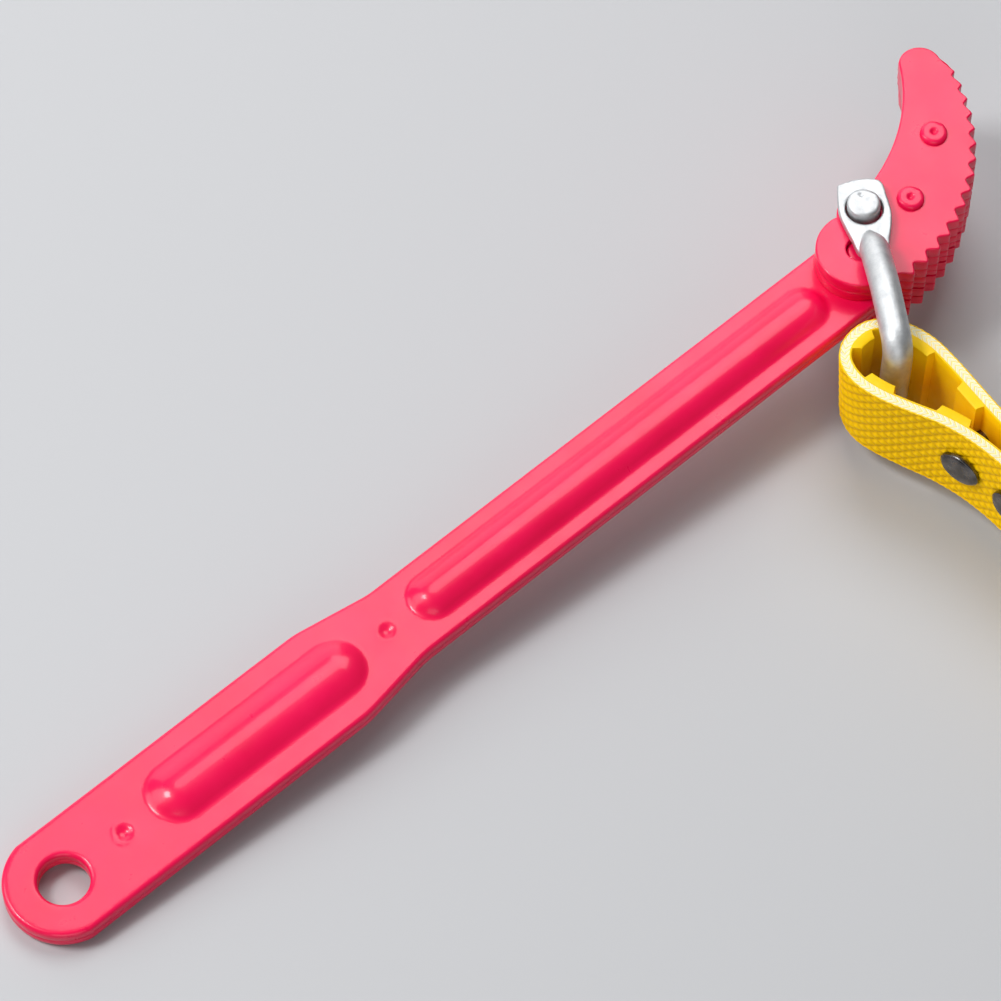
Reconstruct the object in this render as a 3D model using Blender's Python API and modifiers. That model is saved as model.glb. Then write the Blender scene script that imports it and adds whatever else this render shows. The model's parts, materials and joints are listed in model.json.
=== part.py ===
"""Oil filter strap wrench.

Two stamped steel sheets, back to back, make the handle and the middle of the head. Two cheek plates on
each face thicken the head to a serrated cam. A galvanised shackle swings on a pin through the head, and
a toothed belt is looped round its crossbar and riveted back on itself. The wrench lies as it does on a
bench: on the tip of the handle and on the corner of the shackle, with the spare belt rolled up beside it.

The tool frame has X along the handle towards the head, Y to the left and Z up, with its origin on the
handle's mid plane below the boss. The tool frame is pitched on the empty "tool_frame".
"""

import math

import bmesh
import bpy
from mathutils import Matrix, Vector

MM = 0.001

# Handle, in the tool frame, in millimetres
SHEET = 2.5  # thickness of each stamped sheet
SEAM = 0.04  # gap between two plates that touch
HANG_HOLE_X = -231.6
HANG_HOLE_RADIUS = 5.6
TIP_RADIUS = 13.2
GRIP_HALF_WIDTH = 12.9
SHANK_HALF_WIDTH = 9.8
NECK_X = (-157.5, -139.0)  # where the grip narrows to the shank
NECK_ROUND = 24.0
RIB_LONG = {"from_x": -128.5, "to_x": -17.6, "radius": 5.2, "height": 2.6}
RIB_SHORT = {"from_x": -200.2, "to_x": -156.2, "radius": 6.5, "height": 2.6}
RIB_WALL = 1.9  # how much smaller the hollow under a rib is
WELD_MARKS_X = (-215.2, -141.8)
WELD_MARK_RADIUS = 1.8
WELD_MARK_DEPTH = 0.5

# Head
CHEEK = 3.25  # thickness of each cheek plate
BOSS_CENTRE = Vector((0.0, 0.9))
BOSS_RADIUS = 9.95
TEETH = 15
TOOTH_PITCH = 4.74  # degrees about the centre of the serrated arc
TOOTH_WIDENING = 0.0223  # degrees: a tooth's angle also grows with the square of its number
TOOTH_FIRST = -18.3
TOOTH_ROOT = 2.1  # degrees from a tooth's tip to the root behind it
TOOTH_CENTRE = Vector((3.9, 37.1))
TOOTH_TIP_RADIUS = 48.9
TOOTH_ROOT_RADIUS = 47.3
HORN_CENTRE = Vector((45.3, 28.3))
HORN_RADIUS = 5.0
INNER_CENTRE = Vector((1.7, 58.1))  # of the concave edge
INNER_RADIUS = 47.7
HEAD_HALF = SHEET + 2 * CHEEK

# Rivets and pins
HEAD_RIVETS = {"head_rivet_front": (34.2, 12.3), "head_rivet_rear": (17.9, 2.95)}
HEAD_RIVET_SHANK = 2.0
HEAD_RIVET_HEAD = 3.15
HEAD_RIVET_PROUD = 1.15
BOSS_RIVET_RADIUS = 3.0
BOSS_RIVET_DEEP = 1.2
FIT = 0.12  # radial gap of a rivet or pin in its hole
PIN_XY = Vector((7.2, 7.4))
PIN_RADIUS = 3.85
PIN_BULGE_RADIUS = 5.9  # of the head's edge round the pin's hole
PIN_END = 13.2

# Shackle, in its own frame: origin on the pin, X towards the crossbar
SHACKLE_ANGLE = -123.1
ROD_RADIUS = 3.4
CROSSBAR_X = 41.2
ARM_SPREAD = 16.6  # rod centre above the mid plane where the arm bends
ARM_RISE = [(7.5, 12.6), (12.5, 13.3), (18.0, 14.9), (24.0, 16.3), (29.0, ARM_SPREAD)]
BEND_RADIUS = 4.0
EYE_GAP = 0.3
EYE_THICK = 2.2
EYE_HOLE_RADIUS = 4.25
EYE_OUTLINE = [(-6.7, -4.8), (-7.7, 0.1), (-6.7, 5.0), (-2.6, 5.8), (1.5, 6.1), (4.7, 5.7), (9.0, 4.4)]
EYE_OUTLINE += [(12.5, 3.0), (12.5, -2.6), (8.0, -4.1), (1.5, -5.6), (-3.1, -5.4)]

# Belt, in the tool frame: it starts at the riveted end, goes round the crossbar and back
BELT_WIDTH = 25.0
BELT_THICK = 3.0
BELT_ROUTE = [(-8.6, -80.0), (-8.6, -66.0), (-8.5, -54.0), (-7.7, -45.0), (-6.8, -36.0), (-6.7, -28.5)]
BELT_ROUTE += [(-8.8, -21.6), (-13.4, -17.0), (-19.0, -16.6), (-23.2, -19.9), (-24.8, -25.2)]
BELT_ROUTE += [(-23.9, -31.0), (-21.4, -38.0), (-18.6, -45.0), (-16.7, -52.5), (-15.9, -60.0)]
BELT_ROUTE += [(-15.6, -68.0), (-15.4, -80.0), (-15.2, -94.0)]
BELT_STEP = 2.5
LOOP_LEAN = Vector((-0.056, 0.05, 0.0))  # of the belt's upper edge where it goes round the crossbar
LEAN_X = (-17.0, -24.0)  # the lean starts and is full at these
SETTLE_Y = (-58.0, -112.0)  # the belt comes down to the floor between these
ROLL_CENTRE = Vector((27.5, -128.5))
ROLL_RADIUS = 42.0  # of the middle of the outer turn
ROLL_PITCH = 9.4
ROLL_TURNS = 1.75
ROLL_LEAD = 17.5  # length of belt that the roll's solid keeps before its first turn
ROLL_HEADING = -88.0
FLOOR_GAP = 0.1

# Belt rivets
BELT_RIVETS_Y = (-52.0, -66.2)
BELT_RIVET_HEAD = 5.1
BELT_RIVET_SHANK = 2.4
BELT_RIVET_HOLE = 2.6
BELT_RIVET_PROUD = 1.5
WASHER_RADIUS = 4.8
WASHER_THICK = 0.9
RIVET_GAP = 0.3  # between a belt rivet or washer and the belt

ROUND = 40  # sides of a large round piece
RED = (0.72, 0.004, 0.045, 1.0)
ZINC = (0.62, 0.66, 0.70, 1.0)
STEEL = (0.28, 0.28, 0.30, 1.0)
YELLOW = (0.86, 0.55, 0.01, 1.0)


# ---------------------------------------------------------------- scene and helpers


def clear_scene():
    for obj in list(bpy.data.objects):
        bpy.data.objects.remove(obj, do_unlink=True)


def collection(name):
    made = bpy.data.collections.new(name)
    bpy.context.scene.collection.children.link(made)
    return made


def material(name, colour, roughness, metallic):
    made = bpy.data.materials.new(name)
    made.use_nodes = True
    shader = made.node_tree.nodes["Principled BSDF"]
    shader.inputs["Base Color"].default_value = colour
    shader.inputs["Roughness"].default_value = roughness
    shader.inputs["Metallic"].default_value = metallic
    return made


def empty(name, parent, place, turn_z=0.0):
    made = bpy.data.objects.new(name, None)
    PARTS.objects.link(made)
    made.parent = parent
    made.location = Vector(place) * MM
    made.rotation_euler = (0.0, 0.0, math.radians(turn_z))
    return made


def add(name, mesh, parent, look, smooth_angle=30.0):
    """A sub-part: its mesh is in millimetres in its parent's frame."""
    mesh.transform(Matrix.Scale(MM, 4))
    made = bpy.data.objects.new(name, mesh)
    PARTS.objects.link(made)
    made.parent = parent
    if look:
        mesh.materials.append(look)
    mesh.shade_smooth()
    mesh.set_sharp_from_angle(angle=math.radians(smooth_angle))
    return made


def helper(name, mesh, parent):
    """A cutter, or a shape that another is joined with: it is no part of the object."""
    made = add(name, mesh, parent, None)
    PARTS.objects.unlink(made)
    CUTTERS.objects.link(made)
    made.hide_render = True
    made.display_type = "WIRE"
    return made


def combine(obj, other, operation):
    modifier = obj.modifiers.new(other.name, "BOOLEAN")
    modifier.operation = operation
    modifier.object = other
    modifier.solver = "EXACT"


def mesh_of(name, shape):
    mesh = bpy.data.meshes.new(name)
    bmesh.ops.recalc_face_normals(shape, faces=shape.faces)
    shape.to_mesh(mesh)
    shape.free()
    return mesh


def plate(name, outline, low, high, holes=()):
    """A flat outline given thickness from low to high, with round or other holes through it."""
    curve = bpy.data.curves.new(name, "CURVE")
    curve.dimensions = "2D"
    curve.fill_mode = "BOTH"
    curve.extrude = (high - low) / 2
    for points in [outline, *holes]:
        spline = curve.splines.new("POLY")
        spline.points.add(len(points) - 1)
        for point, (x, y) in zip(spline.points, points, strict=True):
            point.co = (x, y, 0.0, 1.0)
        spline.use_cyclic_u = True
    flat = bpy.data.objects.new(name, curve)
    mesh = bpy.data.meshes.new_from_object(flat)
    bpy.data.objects.remove(flat)
    bpy.data.curves.remove(curve)
    shape = bmesh.new()
    shape.from_mesh(mesh)
    bmesh.ops.remove_doubles(shape, verts=shape.verts, dist=0.001)
    bmesh.ops.translate(shape, verts=shape.verts, vec=(0.0, 0.0, (low + high) / 2))
    shape.to_mesh(mesh)
    shape.free()
    return mesh


def tube(name, points, radius, resolution):
    """A bent rod along points, with flat ends."""
    curve = bpy.data.curves.new(name, "CURVE")
    curve.dimensions = "3D"
    curve.bevel_depth = radius
    curve.bevel_resolution = resolution
    curve.use_fill_caps = True
    spline = curve.splines.new("POLY")
    spline.points.add(len(points) - 1)
    for point, place in zip(spline.points, points, strict=True):
        point.co = (*place, 1.0)
    rod = bpy.data.objects.new(name, curve)
    mesh = bpy.data.meshes.new_from_object(rod)
    bpy.data.objects.remove(rod)
    bpy.data.curves.remove(curve)
    shape = bmesh.new()
    shape.from_mesh(mesh)
    bmesh.ops.remove_doubles(shape, verts=shape.verts, dist=0.001)
    shape.to_mesh(mesh)
    shape.free()
    return mesh


def cylinder(name, centre, radius, low, high, sides=ROUND):
    shape = bmesh.new()
    middle = Matrix.Translation((centre[0], centre[1], (low + high) / 2))
    bmesh.ops.create_cone(
        shape, cap_ends=True, segments=sides, radius1=radius, radius2=radius, depth=high - low, matrix=middle
    )
    return mesh_of(name, shape)


def turned(name, profile, parent, look, place, sides=24):
    """A turned piece: the profile's points are (radius, height), from the top down."""
    mesh = bpy.data.meshes.new(name)
    points = [(radius, 0.0, height) for radius, height in profile]
    mesh.from_pydata(points, [(i, i + 1) for i in range(len(points) - 1)], [])
    made = add(name, mesh, parent, look)
    made.location = Vector(place) * MM
    screw = made.modifiers.new("turn", "SCREW")
    screw.axis = "Z"
    screw.steps = sides
    screw.render_steps = sides
    screw.use_merge_vertices = True
    screw.merge_threshold = 0.00001
    screw.use_smooth_shade = True
    return made


def arc(centre, radius, start, end, steps):
    """Points on an arc, from one angle in degrees to another."""
    angles = [math.radians(start + (end - start) * i / steps) for i in range(steps + 1)]
    return [(centre[0] + radius * math.cos(a), centre[1] + radius * math.sin(a)) for a in angles]


def circle(centre, radius, sides=24):
    return arc(centre, radius, 0.0, 360.0 - 360.0 / sides, sides - 1)


def fillet(before, corner, after, radius, steps=5):
    """The corner of an outline, rounded."""
    before, corner, after = Vector(before), Vector(corner), Vector(after)
    back, ahead = (before - corner).normalized(), (after - corner).normalized()
    half = back.angle(ahead) / 2
    centre = corner + (back + ahead).normalized() * radius / math.sin(half)
    first = corner + back * radius / math.tan(half) - centre
    turn = Vector(first).angle_signed(corner + ahead * radius / math.tan(half) - centre)
    start = math.degrees(math.atan2(first.y, first.x))
    return arc(centre, radius, start, start - math.degrees(turn), steps)


# ---------------------------------------------------------------- handle and head


def head_edge():
    """The head's edge from the boss, past the pin, along the concave side, round the horn and down the
    teeth."""
    edge = arc(PIN_XY, PIN_BULGE_RADIUS, 150.0, 44.0, 12)
    edge += arc(INNER_CENTRE, INNER_RADIUS, -77.7, -32.8, 14)
    edge += arc(HORN_CENTRE, HORN_RADIUS, 118.0, -22.0, 9)
    for tooth in range(TEETH):
        tip = math.radians(TOOTH_FIRST - tooth * TOOTH_PITCH - tooth**2 * TOOTH_WIDENING)
        root = tip - math.radians(TOOTH_ROOT)
        for angle, radius in ((tip, TOOTH_TIP_RADIUS), (root, TOOTH_ROOT_RADIUS)):
            edge.append(tuple(TOOTH_CENTRE + radius * Vector((math.cos(angle), math.sin(angle)))))
    return edge


def cheek_outline():
    """The outline of a cheek plate: the cam, closed by the round boss."""
    return head_edge() + arc(BOSS_CENTRE, BOSS_RADIUS, -110.0, -280.0, 20)


def handle_outline():
    """The outline of a handle sheet, from the head's concave side round to the head again."""
    upper = [(-2.5, SHANK_HALF_WIDTH), (NECK_X[1], SHANK_HALF_WIDTH)]
    upper += [(NECK_X[0], GRIP_HALF_WIDTH), (HANG_HOLE_X, GRIP_HALF_WIDTH)]
    side = [upper[0]]
    side += fillet(upper[0], upper[1], upper[2], NECK_ROUND)
    side += fillet(upper[1], upper[2], upper[3], NECK_ROUND)
    start = math.degrees(math.asin(GRIP_HALF_WIDTH / TIP_RADIUS))
    tip = arc((HANG_HOLE_X, 0.0), TIP_RADIUS, 180.0 - start, 180.0 + start, 24)
    lower = [(x, -y) for x, y in reversed(side)]
    return head_edge() + lower[::-1] + tip[::-1] + side[::-1]


def dome(name, centre_x, half_length, radius, height, base, upwards):
    """A pressed rib: half of a stretched ball with a flat base."""
    shape = bmesh.new()
    bmesh.ops.create_uvsphere(
        shape, u_segments=28, v_segments=15, radius=radius, matrix=Matrix.Rotation(math.pi / 2, 4, "Y")
    )
    for vert in shape.verts:
        vert.co.x += math.copysign(half_length, vert.co.x)
        vert.co.z *= height / radius
    everything = shape.verts[:] + shape.edges[:] + shape.faces[:]
    bmesh.ops.bisect_plane(
        shape, geom=everything, dist=0.001, plane_co=(0, 0, 0), plane_no=(0, 0, -1), clear_outer=True
    )
    rim = [edge for edge in shape.edges if edge.is_boundary]
    bmesh.ops.contextual_create(shape, geom=rim)
    facing = 1.0 if upwards else -1.0
    bmesh.ops.scale(shape, verts=shape.verts, vec=(1.0, 1.0, facing))
    bmesh.ops.translate(shape, verts=shape.verts, vec=(centre_x, 0.0, base * facing))
    return mesh_of(name, shape)


def handle_half(name, side):
    """One stamped sheet; side is 1 for the upper one and -1 for the lower one."""
    low, high = sorted((side * SEAM / 2, side * SHEET))
    holes = [circle((HANG_HOLE_X, 0.0), HANG_HOLE_RADIUS, 32)]
    holes += [circle(place, HEAD_RIVET_SHANK + FIT) for place in HEAD_RIVETS.values()]
    holes += [circle(PIN_XY, PIN_RADIUS + FIT), circle(BOSS_CENTRE, BOSS_RIVET_RADIUS + FIT)]
    half = add(name, plate(name, handle_outline(), low, high, holes), FRAME, RED_ENAMEL)
    for label, rib in (("long", RIB_LONG), ("short", RIB_SHORT)):
        middle = (rib["from_x"] + rib["to_x"]) / 2
        reach = (rib["to_x"] - rib["from_x"]) / 2
        outer = dome("rib", middle, reach, rib["radius"], rib["height"] + 0.2, SHEET - 0.2, side > 0)
        inner_radius = rib["radius"] - RIB_WALL
        inner = dome("hollow", middle, reach, inner_radius, rib["height"] + 0.4, -0.2, side > 0)
        combine(half, helper(f"{name}_{label}_rib", outer, FRAME), "UNION")
        combine(half, helper(f"{name}_{label}_hollow", inner, FRAME), "DIFFERENCE")
    for number, x in enumerate(WELD_MARKS_X):
        mark = bmesh.new()
        bmesh.ops.create_uvsphere(mark, u_segments=16, v_segments=9, radius=WELD_MARK_RADIUS)
        squash = (1.0, 1.0, WELD_MARK_DEPTH / WELD_MARK_RADIUS)
        bmesh.ops.scale(mark, verts=mark.verts, vec=squash)
        bmesh.ops.translate(mark, verts=mark.verts, vec=(x, 0.0, side * SHEET))
        combine(half, helper(f"{name}_weld_{number}", mesh_of("weld", mark), FRAME), "DIFFERENCE")
    return half


def cheek(name, side, layer):
    """A cheek plate; layer 0 lies on the handle sheet and layer 1 is the outer one."""
    near = SHEET + layer * CHEEK + SEAM
    far = SHEET + (layer + 1) * CHEEK
    low, high = sorted((side * near, side * far))
    holes = [circle(place, HEAD_RIVET_SHANK + FIT) for place in HEAD_RIVETS.values()]
    holes += [circle(PIN_XY, PIN_RADIUS + FIT), circle(BOSS_CENTRE, BOSS_RIVET_RADIUS + FIT)]
    return add(name, plate(name, cheek_outline(), low, high, holes), FRAME, RED_ENAMEL)


def mirrored(profile):
    """A profile that goes from the top to the mid plane, with the same below it."""
    return profile + [(radius, -height) for radius, height in reversed(profile)]


def head_rivets():
    """Domed rivets with a small dimple in the middle of each head."""
    face = HEAD_HALF + SEAM
    top = face + HEAD_RIVET_PROUD
    profile = [(0.0, top - 0.45), (0.55, top - 0.35), (1.1, top), (2.1, top - 0.05), (2.8, top - 0.4)]
    profile += [(HEAD_RIVET_HEAD, face + 0.25), (HEAD_RIVET_HEAD - 0.1, face), (HEAD_RIVET_SHANK, face)]
    for name, place in HEAD_RIVETS.items():
        turned(name, mirrored(profile), FRAME, RED_ENAMEL, (*place, 0.0))


def boss_rivet():
    """A rivet that fills the boss's hole and stops below its faces."""
    top = HEAD_HALF - BOSS_RIVET_DEEP
    profile = [(0.0, top), (BOSS_RIVET_RADIUS - 0.4, top), (BOSS_RIVET_RADIUS, top - 0.4)]
    turned("boss_rivet", mirrored(profile), FRAME, RED_ENAMEL, (*BOSS_CENTRE, 0.0))


def shackle_pin():
    profile = [(0.0, PIN_END), (2.7, PIN_END - 0.1), (3.4, PIN_END - 0.45), (PIN_RADIUS, PIN_END - 1.0)]
    turned("shackle_pin", mirrored(profile), FRAME, GALVANISED, (*PIN_XY, 0.0), sides=32)


# ---------------------------------------------------------------- shackle


def shackle_route():
    """The middle of the rod from the upper eye to the lower one, in the shackle's frame."""
    arm = [tuple(point) for point in through(ARM_RISE, 4.0)]
    arm += fillet(ARM_RISE[-1], (CROSSBAR_X, ARM_SPREAD), (CROSSBAR_X, 0.0), BEND_RADIUS, steps=8)
    arm.append((CROSSBAR_X, 4.0))
    down = [(x, 0.0, z) for x, z in arm]
    return down + [(x, y, -z) for x, y, z in reversed(down)]


def shackle():
    name = "shackle"
    bar = add(name, tube(name, shackle_route(), ROD_RADIUS, 3), SHACKLE_FRAME, GALVANISED)
    for label, side in (("upper", 1), ("lower", -1)):
        near = side * (HEAD_HALF + EYE_GAP)
        low, high = sorted((near, near + side * EYE_THICK))
        eye = plate("eye", EYE_OUTLINE, low, high)
        combine(bar, helper(f"{label}_eye", eye, SHACKLE_FRAME), "UNION")
    reach = HEAD_HALF + 20.0
    hole = cylinder("eye_hole", (0.0, 0.0), EYE_HOLE_RADIUS, -reach, reach, 32)
    combine(bar, helper("eye_hole", hole, SHACKLE_FRAME), "DIFFERENCE")
    return bar


# ---------------------------------------------------------------- belt


def smooth(share):
    share = min(max(share, 0.0), 1.0)
    return share * share * (3.0 - 2.0 * share)


def through(points, step):
    """A smooth curve through points, as points about step apart."""
    line = [Vector(p) for p in points]
    padded = [2 * line[0] - line[1], *line, 2 * line[-1] - line[-2]]
    made = []
    for a, b, c, d in zip(padded, padded[1:], padded[2:], padded[3:], strict=False):
        count = max(1, round((c - b).length / step))
        for i in range(count):
            t = i / count
            made.append(
                0.5 * (2 * b + (c - a) * t + (2 * a - 5 * b + 4 * c - d) * t * t + (3 * b - a - 3 * c + d) * t**3)
            )
    return [*made, line[-1]]


def roll_entry():
    """Where the belt reaches the roll's outer turn, and the way it goes there."""
    heading = math.radians(ROLL_HEADING)
    ahead = Vector((math.cos(heading), math.sin(heading)))
    left = Vector((-ahead.y, ahead.x))
    return ROLL_CENTRE - left * ROLL_RADIUS, ahead


def belt_run():
    """The belt's route in plan, in the tool frame, from its riveted end to the roll's solid."""
    entry, ahead = roll_entry()
    return through([*BELT_ROUTE, tuple(entry - ahead * (ROLL_LEAD + 0.3))], BELT_STEP)


def belt_stations(plan):
    """(place, side, up) of each point of the belt in world millimetres: it comes down from the crossbar
    to the floor and turns upright."""
    to_world = FRAME.matrix_world
    floor_height = FLOOR_GAP + BELT_WIDTH / 2
    normal = (to_world.to_3x3() @ Vector((0.0, 0.0, 1.0))).normalized()
    places, ups = [], []
    for point in plan:
        share = smooth((point.y - SETTLE_Y[0]) / (SETTLE_Y[1] - SETTLE_Y[0]))
        place = to_world @ Vector((point.x * MM, point.y * MM, 0.0)) / MM
        place.z += share * (floor_height - place.z)
        places.append(place)
        lean = LOOP_LEAN * smooth((point.x - LEAN_X[0]) / (LEAN_X[1] - LEAN_X[0]))
        ups.append((normal.lerp(Vector((0.0, 0.0, 1.0)), share) + lean).normalized())
    stations = []
    for i, (place, up) in enumerate(zip(places, ups, strict=True)):
        along = places[min(i + 1, len(places) - 1)] - places[max(i - 1, 0)]
        stations.append((place, up.cross(along).normalized(), up))
    return stations


def belt():
    """The riveted loop and the free run, swept as a flat strip that stands on its edge."""
    shape = bmesh.new()
    rings = []
    for place, side, up in belt_stations(belt_run()):
        corners = [(-1, -1), (1, -1), (1, 1), (-1, 1)]
        out, rise = side * BELT_THICK / 2, up * BELT_WIDTH / 2
        rings.append([shape.verts.new(place + out * i + rise * j) for i, j in corners])
    for ring, following in zip(rings, rings[1:], strict=False):
        for i in range(4):
            j = (i + 1) % 4
            shape.faces.new((ring[i], ring[j], following[j], following[i]))
    shape.faces.new(rings[0][::-1])
    shape.faces.new(rings[-1])
    mesh = mesh_of("belt", shape)
    mesh.transform(Matrix.Scale(1 / MM, 4) @ BELT_FRAME.matrix_world.inverted() @ Matrix.Scale(MM, 4))
    strap = add("belt", mesh, BELT_FRAME, YELLOW_RUBBER)
    for number, (hole, turn, _) in enumerate(belt_rivet_seats()):
        drill = cylinder("drill", (0.0, 0.0), BELT_RIVET_HOLE, -20.0, 20.0, 20)
        drill.transform(Matrix.Translation(hole) @ turn)
        combine(strap, helper(f"belt_hole_{number}", drill, BELT_FRAME), "DIFFERENCE")
    return strap


def belt_layer(y, front):
    """The middle of the belt's front or back layer at y in the tool frame, and its outward direction."""
    line = belt_run()
    nearest = min((i for i, p in enumerate(line) if (p.x < -12.0) == front), key=lambda i: abs(line[i].y - y))
    along = (line[nearest + 1] - line[nearest - 1]).normalized()
    outward = Vector((along.y, -along.x))
    return line[nearest], outward if (outward.x < 0) == front else -outward


def belt_rivet_seats():
    """For each belt rivet: the middle of the front layer, in the belt's frame, the turn that stands the rivet
    square on it, and how far below that middle the washer lies."""
    seats = []
    for y in BELT_RIVETS_Y:
        front, out = belt_layer(y, True)
        back, back_out = belt_layer(y, False)
        lean = math.acos(min(1.0, -out.dot(back_out)))
        reach = (back - front).dot(back_out) / math.cos(lean) + BELT_THICK / 2 / math.cos(lean)
        turn = Matrix.Rotation(math.atan2(out.y, out.x), 4, "Z") @ Matrix.Rotation(math.pi / 2, 4, "Y")
        seats.append((Vector((*(front - CROSSBAR_XY), 0.0)), turn, reach + WASHER_RADIUS * math.tan(lean)))
    return seats


def belt_rivets():
    """A flat steel head on the outer side, and a burr washer under the clinched end on the inner one."""
    for number, (middle, turn, reach) in enumerate(belt_rivet_seats(), 1):
        under = BELT_THICK / 2 + RIVET_GAP
        top = under + BELT_RIVET_PROUD
        washer_top = -reach - RIVET_GAP
        washer_low = washer_top - WASHER_THICK
        profile = [(0.0, top), (3.6, top - 0.1), (4.6, top - 0.45), (BELT_RIVET_HEAD, top - 1.0)]
        profile += [(BELT_RIVET_HEAD, under), (BELT_RIVET_SHANK, under), (BELT_RIVET_SHANK, washer_low - 0.1)]
        profile += [(3.2, washer_low - 0.15), (3.1, washer_low - 0.8), (2.2, washer_low - 1.1)]
        profile += [(0.0, washer_low - 0.9)]
        rivet = turned(f"belt_rivet_{number}", profile, BELT_FRAME, PLATED_STEEL, middle)
        burr = plate(
            "washer",
            circle((0, 0), WASHER_RADIUS, 28),
            washer_low,
            washer_top,
            [circle((0, 0), BELT_RIVET_SHANK + FIT, 20)],
        )
        washer = add(f"belt_washer_{number}", burr, BELT_FRAME, PLATED_STEEL)
        washer.location = middle * MM
        rivet.rotation_euler = turn.to_euler()
        washer.rotation_euler = turn.to_euler()


def belt_roll():
    """The solid that the rolled-up spare belt fills: a ring with the short lead that the belt comes in by."""
    entry, ahead = roll_entry()
    left = Vector((-ahead.y, ahead.x))
    half = BELT_THICK / 2
    outside = ROLL_RADIUS + half
    start = entry - ahead * ROLL_LEAD
    meet = math.sqrt(outside**2 - (ROLL_RADIUS - half) ** 2)
    first = math.degrees(math.atan2(-left.y, -left.x))
    last = first - math.degrees(math.atan2(meet, ROLL_RADIUS - half)) + 360.0
    outline = [tuple(start + left * half), tuple(start - left * half)]
    outline += arc(ROLL_CENTRE, outside, first, last, 44)
    inside = ROLL_RADIUS - ROLL_PITCH * ROLL_TURNS - half
    mesh = plate("belt_roll", outline, 0.0, BELT_WIDTH, [circle(ROLL_CENTRE, inside, 32)])
    upright = FRAME.matrix_world.translation.copy()
    spread = Matrix.Diagonal((FRAME.matrix_world[0][0], 1.0, 1.0, 1.0))
    place = Matrix.Translation((upright.x / MM, upright.y / MM, FLOOR_GAP)) @ spread
    mesh.transform(Matrix.Scale(1 / MM, 4) @ BELT_FRAME.matrix_world.inverted() @ Matrix.Scale(MM, 4) @ place)
    return add("belt_roll", mesh, BELT_FRAME, YELLOW_RUBBER)


# ---------------------------------------------------------------- how it lies


def pitch():
    """The angle at which the handle rises to the head, from its tip to the corner of the shackle."""
    shackle = math.radians(SHACKLE_ANGLE)
    foot_x = PIN_XY.x + (CROSSBAR_X - BEND_RADIUS) * math.cos(shackle)
    tip_x = HANG_HOLE_X - TIP_RADIUS
    return math.atan2(ARM_SPREAD + ROD_RADIUS - SHEET, foot_x - tip_x)


def bounds(objects):
    graph = bpy.context.evaluated_depsgraph_get()
    corners = []
    for obj in objects:
        solid = obj.evaluated_get(graph)
        corners += [solid.matrix_world @ vert.co for vert in solid.data.vertices]
    low = Vector([min(c[k] for c in corners) for k in range(3)])
    high = Vector([max(c[k] for c in corners) for k in range(3)])
    return low, high


def stand_on_floor():
    """Puts the middle of the wrench's base, without its belt, on the world origin."""
    bpy.context.view_layer.update()
    low, high = bounds([obj for obj in PARTS.objects if obj.type == "MESH"])
    FRAME.location -= Vector(((low.x + high.x) / 2, (low.y + high.y) / 2, low.z))
    bpy.context.view_layer.update()


clear_scene()
PARTS = collection("oil_filter_wrench")
CUTTERS = collection("cutters")

RED_ENAMEL = material("red_enamel", RED, 0.25, 0.0)
GALVANISED = material("galvanised_steel", ZINC, 0.35, 1.0)
PLATED_STEEL = material("plated_steel", STEEL, 0.2, 1.0)
YELLOW_RUBBER = material("yellow_belt", YELLOW, 0.5, 0.0)

FRAME = empty("tool_frame", None, (0.0, 0.0, 0.0))
FRAME.rotation_euler = (0.0, -pitch(), 0.0)
SHACKLE_FRAME = empty("shackle_pivot", FRAME, (*PIN_XY, 0.0), SHACKLE_ANGLE)
CROSSBAR_XY = PIN_XY + CROSSBAR_X * Vector(
    (math.cos(math.radians(SHACKLE_ANGLE)), math.sin(math.radians(SHACKLE_ANGLE)))
)
BELT_FRAME = empty("belt_swivel", FRAME, (*CROSSBAR_XY, 0.0))

handle_half("handle_upper_sheet", 1)
handle_half("handle_lower_sheet", -1)
for face, sign in (("upper", 1), ("lower", -1)):
    cheek(f"{face}_inner_cheek", sign, 0)
    cheek(f"{face}_outer_cheek", sign, 1)
head_rivets()
boss_rivet()
shackle_pin()
shackle()
stand_on_floor()
belt()
belt_rivets()
belt_roll()
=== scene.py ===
"""The looks of the oil filter strap wrench: enamelled pressings, galvanised shackle and knurled belt.

Shapes are modelled in the tool frame, in millimetres: X runs along the handle towards the head, Y to the
left and Z up, with the origin below the boss on the handle's mid plane. TOOL takes them to the row frame.
"""

import json
import math

import bpy
import numpy as np
from mathutils import Matrix, Vector, noise
from mathutils.geometry import delaunay_2d_cdt


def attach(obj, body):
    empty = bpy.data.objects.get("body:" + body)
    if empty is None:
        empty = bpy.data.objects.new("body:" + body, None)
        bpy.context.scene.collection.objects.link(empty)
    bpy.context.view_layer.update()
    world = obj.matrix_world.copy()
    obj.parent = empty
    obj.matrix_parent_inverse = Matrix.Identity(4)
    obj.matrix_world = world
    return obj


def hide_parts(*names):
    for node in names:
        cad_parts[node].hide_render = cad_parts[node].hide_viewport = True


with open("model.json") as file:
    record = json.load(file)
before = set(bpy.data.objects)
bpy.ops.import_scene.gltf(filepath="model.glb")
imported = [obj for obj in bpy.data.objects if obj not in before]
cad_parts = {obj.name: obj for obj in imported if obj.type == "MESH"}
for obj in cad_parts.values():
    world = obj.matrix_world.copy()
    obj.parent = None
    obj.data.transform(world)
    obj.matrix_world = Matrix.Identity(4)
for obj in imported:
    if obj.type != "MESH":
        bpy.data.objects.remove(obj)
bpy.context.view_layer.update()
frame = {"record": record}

MM = 0.001
NOISE_SEED = 7  # without one, the unevenness of the rivets and the pin differs from run to run

# Camera, in the tool frame
CAMERA_ELEVATION = 60.4  # degrees above the tool's plane
CAMERA_AZIMUTH = -41.34  # degrees round from its X
CAMERA_DISTANCE = 1039.8
CAMERA_AIM = Vector((-100.755, 9.172, 0.0))
SENSOR_WIDTH = 36.0
FOCAL_LENGTH = 169.03

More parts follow.
